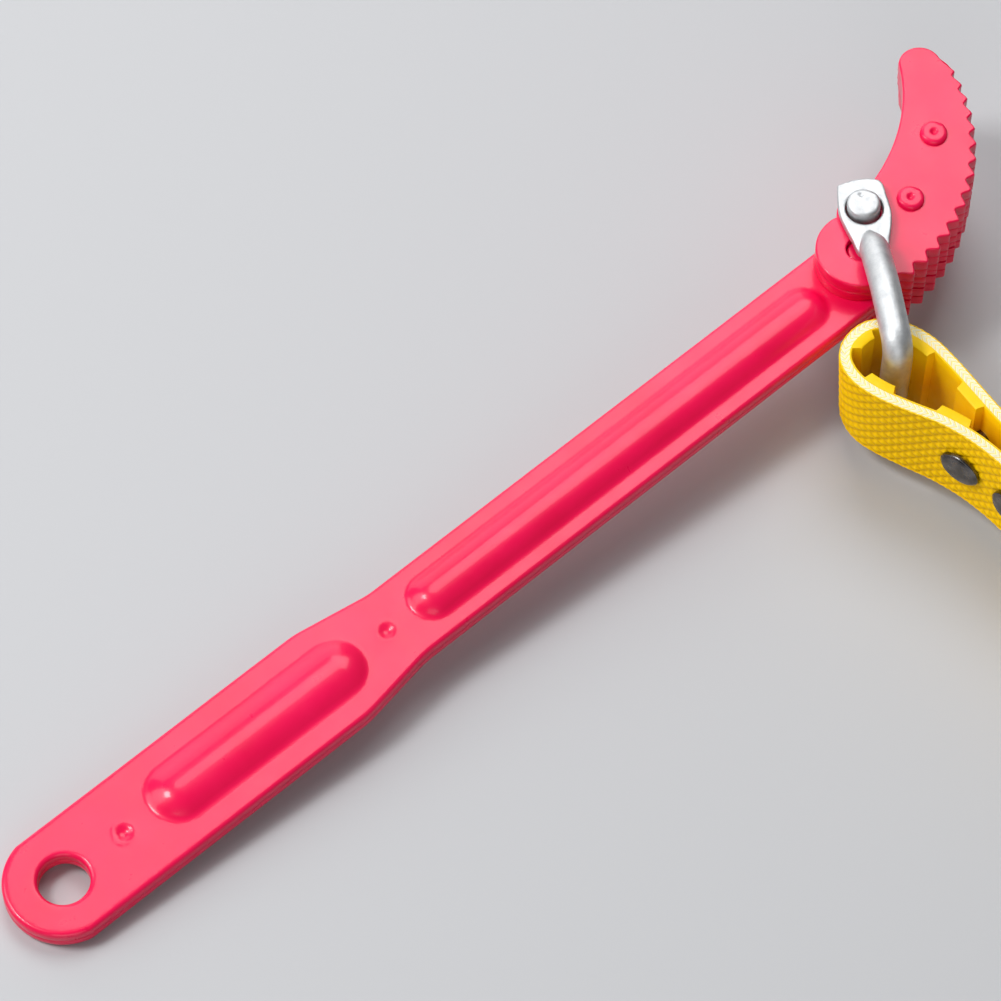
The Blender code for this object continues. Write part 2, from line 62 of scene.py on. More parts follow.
# Floor and lights, in metres and watts
FLOOR_HALF = 3.0
FLOOR_COLOUR = (0.5, 0.505, 0.52, 1.0)
FLOOR_ROUGHNESS = 0.6
WORLD_COLOUR = (0.92, 0.95, 1.0, 1.0)
WORLD_STRENGTH = 0.15
SOFTBOXES = (  # name, place, side, power
    ("far", (0.62, 0.6, 1.42), 1.0, 13.0),
    ("left", (-0.95, 0.85, 0.85), 0.9, 8.0),
    ("back", (0.5, 1.5, 0.4), 1.5, 9.0),
    ("spark", (-0.63, 0.55, 1.25), 0.36, 10.0),
    ("near", (-1.2, -1.2, 0.8), 1.2, 8.0),
)

# Handle
SHEET = 2.5
SEAM = 0.03
HANG_HOLE_X = -231.6
HANG_HOLE_RADIUS = 5.6
TIP_RADIUS = 13.2
GRIP_HALF_WIDTH = 12.9
SHANK_HALF_WIDTH = 9.8
SHANK_END_X = -2.5
NECK_X = (-157.5, -139.0)
NECK_ROUND = 24.0
RIBS = (
    {"from_x": -128.5, "to_x": -17.6, "radius": 5.5, "height": 2.6},
    {"from_x": -200.2, "to_x": -156.2, "radius": 6.8, "height": 2.6},
)
RIB_SQUARE = 2.3  # 2 is a round dome, more is a flatter top
RIB_FOOT = 0.22
WELD_MARKS_X = (-215.2, -141.8)
WELD_MARK_RADIUS = 1.45
WELD_MARK_DEPTH = 0.6
WELD_RIM_HEIGHT = 0.12
WELD_RIM_AT = 1.45  # this and the width are shares of the mark's radius
WELD_RIM_WIDTH = 0.3
UNEVENNESS = 0.035  # of the sheets' faces
SHEET_ROUND = 1.0
SHEET_SPACING = 0.8  # between the points on a sheet's face
SEAM_ROUND = 0.13  # of the edges where two plates touch

# Head
CHEEK = 3.25
HEAD_HALF = SHEET + 2 * CHEEK
BOSS_CENTRE = (0.0, 0.9)
BOSS_RADIUS = 9.95
TEETH = 15
TOOTH_PITCH = 4.74
TOOTH_WIDENING = 0.0223  # a tooth's angle also grows with the square of its number
TOOTH_FIRST = -18.3
TOOTH_LEAN = (0.26, 0.58)  # share of the pitch from a tip to the root behind it, for the first and last tooth
TOOTH_CENTRE = (3.9, 37.1)
TOOTH_TIP_RADIUS = (48.75, 49.3)  # at the first and the last tooth
TOOTH_ROOT_RADIUS = (47.65, 47.05)
TOOTH_STRAIGHT = 0.45  # share of straight flanks in a tooth's shape; the rest is a smooth wave
TOOTH_STEP = 0.36  # degrees between the points of the serrated edge
LEAD_IN = 1.2  # degrees that the edge starts before the first tip
LEAD_FALL = 1.5  # how fast it rises to that tip
LEAD_OUT = 1.1  # degrees less than the teeth's reach that the edge runs
HORN_CENTRE = (45.3, 28.3)
HORN_RADIUS = 5.0
INNER_CENTRE = (1.7, 58.1)
INNER_RADIUS = 47.7
INNER_START = -77.3  # degrees
INNER_SWEEP = 44.5
INNER_STEPS = 44
BULGE_ARC = (150.0, 46.0)  # degrees, as the next two
HORN_ARC = (120.0, -18.0)
BOSS_ARC = (-112.0, -280.0)
CHEEK_ROUND = 0.45
CHEEK_SPACING = 1.5
# The most that each plate's concave edge is set back into the head
PLATE_OFFSETS = {"upper_outer": 0.4, "upper_inner": 0.6, "upper_sheet": 0.9, "lower_sheet": 1.3}
PLATE_OFFSETS |= {"lower_inner": 1.8, "lower_outer": 2.2}
OFFSET_WAVE = 0.74  # share of a half wave that the offset follows from the boss to the horn
OFFSET_SKEW = 1.6  # above 1, the greatest offset is nearer to the horn
HORN_TURN = 11.0  # degrees less of the horn's round end per millimetre of offset
HOLE_GAP = 0.1  # round the rivets and the pin
PLATE_SHARP = 50.0  # degrees: steeper edges of a plate are shaded sharp
PIN_XY = (7.2, 7.4)
PIN_RADIUS = 3.85
PIN_SHAFT_RADIUS = 3.8
PIN_BULGE_RADIUS = 5.9
PIN_END = 13.2
PIN_DENT = (0.9, 1.9)
PIN_DENT_RADIUS = 0.55
PIN_DENT_DEPTH = 0.3
HEAD_RIVETS = {"head_rivet_front": (34.2, 12.3), "head_rivet_rear": (17.9, 2.95)}
HEAD_RIVET_SHANK = 2.0
BOSS_RIVET_RADIUS = 3.0
BOSS_RIVET_SUNK = 1.0

# Shackle, in its own frame
ROD_RADIUS = 3.4
ARM_SPREAD = 16.6
CROSSBAR_X = 41.2
BEND_RADIUS = 4.0
ARM_RISE = [(12.5, 13.3), (18.0, 14.9), (24.0, 16.3), (29.0, ARM_SPREAD)]
EYE_GAP = 0.3
EYE_THICK = 2.2
EYE_HOLE_RADIUS = 4.3
EYE_HOLE_AT = (0.25, 0.1)
EYE_ROUND = 0.35
NOSE = [(6.8, 10.4), (9.0, 11.7)]  # the rod's end, below its eye
NOSE_X = 6.5  # the rod is thinnest here, and full as far again from it
NOSE_RADIUS = 0.25  # share of the rod's
EYE_OUTLINE = [(-6.7, -4.8), (-7.7, 0.1), (-6.7, 5.0), (-2.6, 5.8), (1.5, 6.1), (4.7, 5.7), (9.0, 4.4)]
EYE_OUTLINE += [(12.5, 3.0), (12.5, -2.6), (8.0, -4.1), (1.5, -5.6), (-3.1, -5.4)]
FORGE_VOXEL = 0.24

# Belt
BELT_WIDTH = 25.0
BELT_THICK = 3.0
HALF_THICK = BELT_THICK / 2
BELT_ROUTE = [(-8.6, -80.0), (-8.6, -66.0), (-8.5, -54.0), (-7.7, -45.0), (-6.8, -36.0), (-6.7, -28.5)]
BELT_ROUTE += [(-8.8, -21.6), (-13.4, -17.0), (-19.0, -16.6), (-23.2, -19.9), (-24.8, -25.2)]
BELT_ROUTE += [(-23.9, -31.0), (-21.4, -38.0), (-18.6, -45.0), (-16.7, -52.5), (-15.9, -60.0)]
BELT_ROUTE += [(-15.6, -68.0), (-15.4, -80.0), (-15.2, -94.0)]
SETTLE_Y = (-58.0, -112.0)
LOOP_LEAN = np.array([-0.056, 0.05, 0.0])  # of the upper edge where the belt goes round the crossbar
LEAN_X = (-17.0, -24.0)
ROLL_CENTRE = Vector((27.5, -128.5))
ROLL_RADIUS = 42.0
ROLL_PITCH = 9.4
ROLL_TURNS = 1.75
ROLL_LEAD = 17.8  # the straight part before the roll
ROLL_HEADING = -88.0
FLOOR_GAP = 0.1
BELT_STEP = 0.25  # along the loop and the run, which are nearest to the eye
ROLL_STEP = 1.2
FINE_LENGTH = 185.0
LUG_AT = Vector((-17.8, -16.5))  # the lug on the loop's end
LUG_PITCH = 17.5
LUG_LENGTH = 7.3
LUG_HEIGHT = 1.85
LUG_FLANK = 0.5
KNURL_PITCH = (3.4, 3.1)  # along the belt and up it
KNURL_DEEP = 0.38
KNURL_GROOVE = 0.42  # half a groove's width, as a share of the pitch
KNURL_COLUMNS = 58
LUG_COLUMNS = 10
EDGE_ROUND = 0.3
SCALLOP = 0.1  # of the outer rims, where the pattern runs out over them
CORE_EDGES = (-1.08, 0.95)  # the core's place in the belt's thickness
CORE_RIM = 0.07
EDGE_DIP = 0.1  # the core's cut edge lies that far below the rims
WEAVE_PITCH = 1.35
WEAVE_SLANT = 0.9
WEAVE_SHIFT = 0.07  # brings the middle of the core to 0
LAYERS_PART_X = -12.0  # the loop's front layer has a lower x than this and its back layer a higher one
FRONT_END_Y = -90.0  # the front layer's rivets are nearer to the crossbar than this
BELT_RIVETS_Y = (-52.0, -66.2)
BELT_RIVET_HEAD = 5.1
BELT_RIVET_SHANK = 2.4
BELT_RIVET_PROUD = 1.5
RIVET_TILT = 0.08  # the heads face slightly downwards
WASHER_RADIUS = 4.8
WASHER_THICK = 0.9
WASHER_GAP = 0.3
WASHER_ROUND = 0.2

# ---------------------------------------------------------------- frames


def joint_named(name):
    return next(joint for joint in frame["record"]["behaviour"]["joints"] if joint["name"] == name)


def tool_frame():
    """The tool frame in the row frame, from the shackle's joint: its axis is the tool's Z."""
    pivot = joint_named("shackle_pivot")
    up = Vector(pivot["axis"]).normalized()
    ahead = Vector((up.z, 0.0, -up.x))
    turn = Matrix((ahead, Vector((0.0, 1.0, 0.0)), up)).transposed().to_4x4()
    pin = Matrix.Translation(Vector((*PIN_XY, 0.0)) * MM)
    return Matrix.Translation(pivot["pos_m"]) @ turn @ pin.inverted()


def swivel_xy():
    """The crossbar's middle in the tool frame."""
    place = TOOL.inverted() @ Vector(joint_named("belt_swivel")["pos_m"]) / MM
    return Vector((place.x, place.y))


def upright_at(place):
    """A frame like the tool's, at this place in its plan."""
    return TOOL @ Matrix.Translation(Vector((*place, 0.0)) * MM)


TOOL = tool_frame()
CROSSBAR = swivel_xy()
SHACKLE_TURN = math.atan2(CROSSBAR.y - PIN_XY[1], CROSSBAR.x - PIN_XY[0])
SHACKLE = upright_at(PIN_XY) @ Matrix.Rotation(SHACKLE_TURN, 4, "Z")


# ---------------------------------------------------------------- camera, floor and lights


def camera():
    """The main view."""
    elevation, azimuth = math.radians(CAMERA_ELEVATION), math.radians(CAMERA_AZIMUTH)
    flat = math.cos(elevation)
    back = Vector((math.sin(azimuth) * flat, -math.cos(azimuth) * flat, math.sin(elevation)))
    right = Vector((math.cos(azimuth), math.sin(azimuth), 0.0))
    up = back.cross(right)
    pose = Matrix((right, up, back)).transposed().to_4x4()
    pose.translation = (CAMERA_AIM + back * CAMERA_DISTANCE) * MM
    data = bpy.data.cameras.new("camera")
    data.sensor_width = SENSOR_WIDTH
    data.lens = FOCAL_LENGTH
    made = bpy.data.objects.new("camera", data)
    bpy.context.scene.collection.objects.link(made)
    made.matrix_world = TOOL @ pose
    bpy.context.scene.camera = made


def floor():
    """The ground plane, far larger than the view."""
    size = FLOOR_HALF
    mesh = bpy.data.meshes.new("floor")
    corners = [(-size, -size, 0.0), (size, -size, 0.0), (size, size, 0.0), (-size, size, 0.0)]
    mesh.from_pydata(corners, [], [(0, 1, 2, 3)])
    made = bpy.data.objects.new("floor", mesh)
    bpy.context.scene.collection.objects.link(made)
    look = bpy.data.materials.new("floor")
    look.use_nodes = True
    shader = look.node_tree.nodes["Principled BSDF"]
    shader.inputs["Base Color"].default_value = FLOOR_COLOUR
    shader.inputs["Roughness"].default_value = FLOOR_ROUGHNESS
    mesh.materials.append(look)


def softbox(name, place, size, power):
    """A square area light that faces the middle of the wrench."""
    data = bpy.data.lights.new(name, "AREA")
    data.size = size
    data.energy = power
    made = bpy.data.objects.new(name, data)
    bpy.context.scene.collection.objects.link(made)
    made.location = place
    made.rotation_mode = "QUATERNION"
    made.rotation_quaternion = (-Vector(place)).to_track_quat("-Z", "Y")


def lights():
    for light in SOFTBOXES:
        softbox(*light)
    world = bpy.data.worlds.new("studio")
    world.use_nodes = True
    background = world.node_tree.nodes["Background"]
    background.inputs["Color"].default_value = WORLD_COLOUR
    background.inputs["Strength"].default_value = WORLD_STRENGTH
    bpy.context.scene.world = world
    bpy.context.scene.view_settings.view_transform = "Standard"


# ---------------------------------------------------------------- materials


class Look:
    """A material under construction: texture nodes read object coordinates, in metres. slot is the name of
    the record's material slot that it repaints."""

    def __init__(self, name, slot, roughness, metallic=0.0):
        self.material = bpy.data.materials.new(name)
        self.material["slot"] = slot
        self.material.use_nodes = True
        self.nodes = self.material.node_tree.nodes
        self.shader = self.nodes["Principled BSDF"]
        self.shader.inputs["Roughness"].default_value = roughness
        self.shader.inputs["Metallic"].default_value = metallic
        places = self.nodes.new("ShaderNodeTexCoord").outputs
        self.place, self.flat = places["Object"], places["UV"]

    def link(self, source, target):
        self.material.node_tree.links.new(source, target)

    def noise(self, scale, detail=3.0, roughness=0.5, stretch=None):
        place = self.place
        if stretch:
            mapping = self.nodes.new("ShaderNodeMapping")
            mapping.inputs["Scale"].default_value = stretch
            self.link(place, mapping.inputs["Vector"])
            place = mapping.outputs["Vector"]
        texture = self.nodes.new("ShaderNodeTexNoise")
        texture.inputs["Scale"].default_value = scale
        texture.inputs["Detail"].default_value = detail
        texture.inputs["Roughness"].default_value = roughness
        self.link(place, texture.inputs["Vector"])
        return texture.outputs["Fac"]

    def ramp(self, value, stops):
        """Colours at places from 0 to 1."""
        made = self.nodes.new("ShaderNodeValToRGB")
        elements = made.color_ramp.elements
        while len(elements) < len(stops):
            elements.new(0.5)
        for element, (place, colour) in zip(elements, stops, strict=True):
            element.position = place
            element.color = (*colour, 1.0)
        self.link(value, made.inputs["Fac"])
        return made.outputs["Color"]

    def levels(self, value, low, high, out_low, out_high):
        """The value's range from low to high, stretched to another range and clamped."""
        made = self.nodes.new("ShaderNodeMapRange")
        numbers = {"From Min": low, "From Max": high, "To Min": out_low, "To Max": out_high}
        for name, number in numbers.items():
            made.inputs[name].default_value = number
        self.link(value, made.inputs["Value"])
        return made.outputs["Result"]

    def unwrapped(self):
        """The length along the belt and the place across it, in millimetres."""
        parts = self.nodes.new("ShaderNodeSeparateXYZ")
        self.link(self.flat, parts.inputs["Vector"])
        return parts.outputs["X"], parts.outputs["Y"]

    def math(self, operation, *values):
        made = self.nodes.new("ShaderNodeMath")
        made.operation = operation
        for value, socket in zip(values, made.inputs, strict=False):
            if isinstance(value, float):
                socket.default_value = value
            else:
                self.link(value, socket)
        return made.outputs["Value"]

    def bump(self, layers):
        """Bumps one on another: (height, strength, depth in metres)."""
        normal = None
        for value, strength, deep in layers:
            made = self.nodes.new("ShaderNodeBump")
            made.inputs["Strength"].default_value = strength
            made.inputs["Distance"].default_value = deep
            self.link(value, made.inputs["Height"])
            if normal:
                self.link(normal, made.inputs["Normal"])
            normal = made.outputs["Normal"]
        self.link(normal, self.shader.inputs["Normal"])


def enamel():
    """Sprayed gloss enamel: faint orange peel and slightly uneven gloss."""
    look = Look("gloss_enamel", "red_enamel", 0.3)
    tones = [(0.3, (0.78, 0.0015, 0.06)), (0.5, (0.85, 0.002, 0.073)), (0.72, (0.89, 0.004, 0.085))]
    look.link(look.ramp(look.noise(38.0, 4.0, 0.6), tones), look.shader.inputs["Base Color"])
    look.link(look.levels(look.noise(120.0, 5.0, 0.65), 0.3, 0.7, 0.26, 0.4), look.shader.inputs["Roughness"])
    look.shader.inputs["Specular IOR Level"].default_value = 0.3
    look.shader.inputs["Coat Weight"].default_value = 0.32
    look.shader.inputs["Coat Roughness"].default_value = 0.09
    look.bump([(look.noise(420.0, 2.0), 0.1, 0.0003)])
    return look.material


def galvanised():
    """Zinc plate: satin cloudy metal with a fine grain and small scuffs."""
    look = Look("zinc_plate", "galvanised_steel", 0.42, 1.0)
    tones = [(0.3, (0.52, 0.535, 0.55)), (0.5, (0.62, 0.635, 0.645)), (0.7, (0.7, 0.705, 0.705))]
    look.link(look.ramp(look.noise(420.0, 6.0, 0.75), tones), look.shader.inputs["Base Color"])
    look.link(look.levels(look.noise(300.0, 5.0, 0.7), 0.3, 0.7, 0.48, 0.62), look.shader.inputs["Roughness"])
    look.bump([(look.noise(1500.0, 3.0, 0.7), 0.25, 0.0002), (look.noise(220.0, 2.0), 0.2, 0.0003)])
    return look.material


def dark_steel():
    """Dark polished rivet steel with fine scratches."""
    look = Look("dark_steel", "plated_steel", 0.22, 1.0)
    tones = [(0.35, (0.09, 0.085, 0.085)), (0.65, (0.2, 0.19, 0.19))]
    look.link(look.ramp(look.noise(300.0, 4.0), tones), look.shader.inputs["Base Color"])
    look.link(look.levels(look.noise(600.0, 4.0), 0.3, 0.7, 0.14, 0.32), look.shader.inputs["Roughness"])
    scratches = look.noise(500.0, 3.0, 0.6, stretch=(0.15, 1.0, 2.2))
    look.bump([(scratches, 0.12, 0.0002)])
    return look.material


def belt_rubber():
    """Yellow belt compound: soft sheen, slight mottle, fine grain."""
    look = Look("belt_compound", "yellow_belt", 0.5)
    tones = [(0.3, (0.95, 0.57, 0.0005)), (0.5, (0.99, 0.62, 0.001)), (0.7, (1.0, 0.66, 0.002))]
    look.link(look.ramp(look.noise(90.0, 4.0, 0.6), tones), look.shader.inputs["Base Color"])
    look.link(look.levels(look.noise(400.0, 3.0), 0.3, 0.7, 0.42, 0.62), look.shader.inputs["Roughness"])
    look.shader.inputs["Specular IOR Level"].default_value = 0.22
    look.bump([(look.noise(1500.0, 3.0), 0.2, 0.0002)])
    return look.material


def belt_knurl():
    """The same compound with the diamond pattern pressed into it: the grooves are painted darker, as painted
    shade in them.
    """
    look = Look("belt_knurl", "yellow_belt", 0.5)
    along, up = look.unwrapped()
    along = look.math("DIVIDE", along, KNURL_PITCH[0])
    up = look.math("DIVIDE", up, KNURL_PITCH[1])
    rows = [look.math("PINGPONG", look.math(way, along, up), 0.5) for way in ("ADD", "SUBTRACT")]
    rise = look.levels(look.math("MINIMUM", *rows), 0.0, 0.4, 0.0, 1.0)
    # the low stops are painted shade in the grooves, on top of the bump's relief
    tones = [(0.0, (0.84, 0.48, 0.0003)), (0.4, (0.95, 0.565, 0.0005)), (0.9, (1.0, 0.62, 0.001))]
    look.link(look.ramp(rise, tones), look.shader.inputs["Base Color"])
    look.shader.inputs["Specular IOR Level"].default_value = 0.1
    look.bump([(rise, 0.5, 0.0003), (look.noise(1500.0, 3.0), 0.15, 0.0002)])
    return look.material


def belt_core():
    """The woven carcass at the belt's cut edges: pale yarns laid in a herringbone, with compound between."""
    look = Look("belt_yarn", "yellow_belt", 0.8)
    along, across = look.unwrapped()
    slant = look.math("MULTIPLY", look.math("ABSOLUTE", look.math("ADD", across, WEAVE_SHIFT)), WEAVE_SLANT)
    strand = look.math("PINGPONG", look.math("ADD", look.math("DIVIDE", along, WEAVE_PITCH), slant), 0.5)
    ragged = look.math("MULTIPLY", look.noise(2200.0, 3.0, 0.7), 0.36)
    weave = look.math("ADD", strand, ragged)
    tones = [(0.12, (0.93, 0.64, 0.03)), (0.28, (0.96, 0.78, 0.3))]
    tones += [(0.44, (0.96, 0.9, 0.64)), (0.66, (0.78, 0.75, 0.52))]
    look.link(look.ramp(weave, tones), look.shader.inputs["Base Color"])
    look.bump([(weave, 0.6, 0.0003)])
    return look.material


# ---------------------------------------------------------------- shape helpers


def arc(centre, radius, start, end, steps):
    angles = [math.radians(start + (end - start) * i / steps) for i in range(steps + 1)]
    return [(centre[0] + radius * math.cos(a), centre[1] + radius * math.sin(a)) for a in angles]


def circle(centre, radius, sides=48):
    """A hole's outline: it runs clockwise."""
    return arc(centre, radius, 360.0, 360.0 / sides, sides - 1)


def fillet(before, corner, after, radius, steps=10):
    """The corner of an outline, rounded."""
    before, corner, after = Vector(before), Vector(corner), Vector(after)
    back, ahead = (before - corner).normalized(), (after - corner).normalized()
    half = back.angle(ahead) / 2
    centre = corner + (back + ahead).normalized() * radius / math.sin(half)
    first = corner + back * radius / math.tan(half) - centre
    turn = first.angle_signed(corner + ahead * radius / math.tan(half) - centre)
    start = math.degrees(math.atan2(first.y, first.x))
    return arc(centre, radius, start, start - math.degrees(turn), steps)


def smooth(share):
    share = np.clip(share, 0.0, 1.0)
    return share * share * (3.0 - 2.0 * share)


def through(points, step):
    """A smooth curve through points, as points about step apart."""
    line = [Vector(p) for p in points]
    padded = [2 * line[0] - line[1], *line, 2 * line[-1] - line[-2]]
    made = []
    for a, b, c, d in zip(padded, padded[1:], padded[2:], padded[3:], strict=False):
        count = max(1, round((c - b).length / step))
        for i in range(count):
            t = i / count
            bend = (2 * a - 5 * b + 4 * c - d) * t * t
            sway = (3 * b - a - 3 * c + d) * t**3
            made.append(0.5 * (2 * b + (c - a) * t + bend + sway))
    return [*made, line[-1]]


def evenly(outline, step):
    """A closed outline with points at most step apart."""
    made = []
    for a, b in zip(outline, [*outline[1:], outline[0]], strict=True):
        count = max(1, math.ceil(math.dist(a, b) / step))
        made += [(a[0] + (b[0] - a[0]) * i / count, a[1] + (b[1] - a[1]) * i / count) for i in range(count)]
    return made


def inset(loop, distance):
    """A loop moved to its left, which is into the material."""
    ahead = np.roll(loop, -1, 0) - loop
    ahead /= np.linalg.norm(ahead, axis=1)[:, None]
    left = np.stack([-ahead[:, 1], ahead[:, 0]], 1)
    both = left + np.roll(left, 1, 0)
    both /= np.linalg.norm(both, axis=1)[:, None]
    stretch = 1.0 / np.maximum((both * left).sum(1), 0.6)
    return loop + both * stretch[:, None] * distance


def inside(points, loop):
    """Which points lie inside a closed loop."""
    found = np.zeros(len(points), bool)
    for (x0, y0), (x1, y1) in zip(loop, np.roll(loop, -1, 0), strict=True):
        if y0 == y1:
            continue
        crosses = (points[:, 1] < y0) != (points[:, 1] < y1)
        found ^= crosses & (points[:, 0] < x0 + (points[:, 1] - y0) * (x1 - x0) / (y1 - y0))
    return found


def clear_of(points, loop, distance):
    """Which points are further than that from every point of a loop."""
    found = np.ones(len(points), bool)
    for start in range(0, len(loop), 64):
        part = loop[start : start + 64]
        gaps = points[:, None, :] - part[None, :, :]
        found &= ((gaps**2).sum(2) > distance**2).all(1)
    return found


FAR_INSIDE = 99.0  # further from the edge than any rounding reaches


def triangulate(loops, insets, spacing):
    """(points, how far each is from the edge, triangles, first index of each loop). The outer loop is first
    and runs anticlockwise, the holes run clockwise. With a spacing, a grid of points fills the inside."""
    points, edges, deep, firsts = [], [], [], []
    for loop in loops:
        firsts.append(sum(len(p) for p in points))
        for distance in insets:
            first = sum(len(p) for p in points)
            count = len(loop)
            points.append(inset(loop, distance) if distance else loop)
            deep.append(np.full(count, distance))
            edges += [(first + i, first + (i + 1) % count) for i in range(count)]
    if spacing:
        low, high = loops[0].min(0), loops[0].max(0)
        rows = np.arange(low[1], high[1], spacing * 0.866)
        grid = []
        for i, y in enumerate(rows):
            row = np.arange(low[0] + (i % 2) * spacing / 2, high[0], spacing)
            grid.append(np.column_stack([row, np.full(len(row), y)]))
        grid = np.concatenate(grid)
        grid = grid[inside(grid, loops[0])]
        for hole in loops[1:]:
            grid = grid[~inside(grid, hole)]
        for loop in loops:
            grid = grid[clear_of(grid, loop, insets[-1] + spacing * 0.55)]
        points.append(grid)
        deep.append(np.full(len(grid), FAR_INSIDE))
    points, deep = np.concatenate(points), np.concatenate(deep)
    found = delaunay_2d_cdt([Vector(p) for p in points], edges, [], 0, 1e-6)
    origin = [ids[0] if ids else -1 for ids in found[3]]
    triangles = np.array([[origin[i] for i in face] for face in found[2] if len(face) == 3])
    triangles = triangles[(triangles >= 0).all(1)]
    middles = points[triangles].mean(1)
    keep = inside(middles, loops[0])
    for hole in loops[1:]:
        keep &= ~inside(middles, hole)
    triangles = triangles[keep]
    sides = points[triangles]
    area = np.cross(sides[:, 1] - sides[:, 0], sides[:, 2] - sides[:, 0])
    triangles[area < 0] = triangles[area < 0][:, ::-1]
    return points, deep, triangles, firsts


def rounded(deep, radius):
    """How far a rounded edge lies below the face, at a distance from the edge."""
    near = np.clip(radius - deep, 0.0, radius)
    return radius - np.sqrt(radius**2 - near**2)


def pressed(loops, low, high, top_round, low_round, spacing=None, relief=None):
    """A plate's mesh data: rounded along both faces' edges, with relief(points) added to the top face."""
    loops = [np.array(loop, float) for loop in loops]
    top_insets = [top_round * share for share in (0.0, 0.08, 0.25, 0.5, 0.78, 1.0)]
    low_insets = [low_round * share for share in (0.0, 0.3, 1.0)]
    points, deep, faces, firsts = triangulate(loops, top_insets, spacing)
    heights = high - rounded(deep, top_round)
    if relief:
        heights = heights + relief(points)
    under, under_deep, under_faces, under_firsts = triangulate(loops, low_insets, None)
    under_heights = low + rounded(under_deep, low_round)
    verts = np.concatenate([np.column_stack([points, heights]), np.column_stack([under, under_heights])])
    offset = len(points)
    everything = [tuple(f) for f in faces] + [tuple(f[::-1] + offset) for f in under_faces]
    for loop, first, under_first in zip(loops, firsts, under_firsts, strict=True):
        count = len(loop)
        for i in range(count):
            j = (i + 1) % count
            everything.append((offset + under_first + i, offset + under_first + j, first + j, first + i))
    return verts, everything


def flipped(data):
    """The same piece upside down, on the other side of the mid plane."""
    verts, faces = data
    return verts * np.array([1.0, 1.0, -1.0]), [face[::-1] for face in faces]


def wobble(verts, amount, scale):
    """Vertices moved by smooth noise, as a forging's or a casting's surface is."""
    return np.array([Vector(v) + amount * noise.noise_vector(Vector(v) * scale) for v in verts])


def piece(name, data, place, look, body, node, sharp=40.0):
    """An object with this mesh data, in millimetres in the frame place."""
    verts, faces = data
    mesh = bpy.data.meshes.new(name)
    mesh.from_pydata([tuple(v) for v in verts], [], [tuple(int(i) for i in f) for f in faces])
    mesh.transform(place @ Matrix.Scale(MM, 4))
    mesh.validate()
    mesh.materials.append(look)
    mesh.shade_smooth()
    mesh.set_sharp_from_angle(angle=math.radians(sharp))
    made = bpy.data.objects.new(name, mesh)
    bpy.context.scene.collection.objects.link(made)
    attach(made, body)
    for each in node if isinstance(node, tuple) else (node,):
        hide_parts(each)
    return made


def turned(profile, sides=64, ripple=None):
    """Mesh data of a turned piece; the profile runs from the top of its axis to the bottom of it."""
    rings = [point for point in profile if point[0] > 1e-6]
    angles = np.arange(sides) * 2 * math.pi / sides
    verts = [(r * math.cos(a), r * math.sin(a), z) for r, z in rings for a in angles]
    top, bottom = len(verts), len(verts) + 1
    verts += [(0.0, 0.0, profile[0][1]), (0.0, 0.0, profile[-1][1])]
    faces = []
    for ring in range(len(rings) - 1):
        for i in range(sides):
            j = (i + 1) % sides
            faces.append((ring * sides + i, (ring + 1) * sides + i, (ring + 1) * sides + j, ring * sides + j))
    last = (len(rings) - 1) * sides
    faces += [(top, i, (i + 1) % sides) for i in range(sides)]
    faces += [(bottom, last + (i + 1) % sides, last + i) for i in range(sides)]
    verts = np.array(verts)
    return (ripple(verts) if ripple else verts), faces


def rounded_profile(points, step=0.25):
    """A turned piece's outline through points, with more points on it; a corner is a point given twice."""
    made, part = [], [points[0]]
    for point in points[1:]:
        if point == part[-1]:
            made += [tuple(p) for p in through(part, step)] if len(part) > 1 else []
            part = [point]
        else:
            part.append(point)
    made += [tuple(p) for p in through(part, step)] if len(part) > 1 else []
    return made


# ---------------------------------------------------------------- handle and head


def tooth_edge():
    """The serrated edge, from the horn round to the boss."""
    reach = TOOTH_PITCH * TEETH + TOOTH_WIDENING * TEETH**2
    steps = round(reach / TOOTH_STEP)
    edge = []
    for i in range(steps + 1):
        turned_by = -LEAD_IN + (reach - LEAD_OUT) * i / steps
        root = math.sqrt(TOOTH_PITCH**2 + 4 * TOOTH_WIDENING * max(turned_by, 0.0))
        along = (root - TOOTH_PITCH) / (2 * TOOTH_WIDENING) if turned_by > 0.0 else turned_by / TOOTH_PITCH
        number = min(max(math.floor(along), 0), TEETH - 1)
        later = number / (TEETH - 1)
        lean = TOOTH_LEAN[0] + (TOOTH_LEAN[1] - TOOTH_LEAN[0]) * later
        share = along - math.floor(along)
        height = 1.0 - share / lean if share < lean else (share - lean) / (1.0 - lean)
        height = TOOTH_STRAIGHT * height + (1.0 - TOOTH_STRAIGHT) * float(smooth(height))
        if along < 0.0:
            height = 1.0 + along * LEAD_FALL
        low = TOOTH_ROOT_RADIUS[0] + (TOOTH_ROOT_RADIUS[1] - TOOTH_ROOT_RADIUS[0]) * later
        tip = TOOTH_TIP_RADIUS[0] + (TOOTH_TIP_RADIUS[1] - TOOTH_TIP_RADIUS[0]) * later
        radius = low + (tip - low) * height
        turn = math.radians(TOOTH_FIRST - turned_by)
        edge.append((TOOTH_CENTRE[0] + radius * math.cos(turn), TOOTH_CENTRE[1] + radius * math.sin(turn)))
    return edge


def head_edge(behind):
    """The head's edge from the boss to the boss again: the bulge round the pin, the concave side, the horn
    and the teeth. The concave side and the horn's start are set back by up to behind, in millimetres."""
    edge = arc(PIN_XY, PIN_BULGE_RADIUS, *BULGE_ARC, 16)
    for i in range(INNER_STEPS + 1):
        turn = math.radians(INNER_START + INNER_SWEEP * i / INNER_STEPS)
        wave = OFFSET_WAVE * math.pi * (i / INNER_STEPS) ** OFFSET_SKEW
        radius = INNER_RADIUS + behind * math.sin(wave)
        edge.append((INNER_CENTRE[0] + radius * math.cos(turn), INNER_CENTRE[1] + radius * math.sin(turn)))
    edge += arc(HORN_CENTRE, HORN_RADIUS, HORN_ARC[0] - HORN_TURN * behind, HORN_ARC[1], 18)
    return edge + tooth_edge()


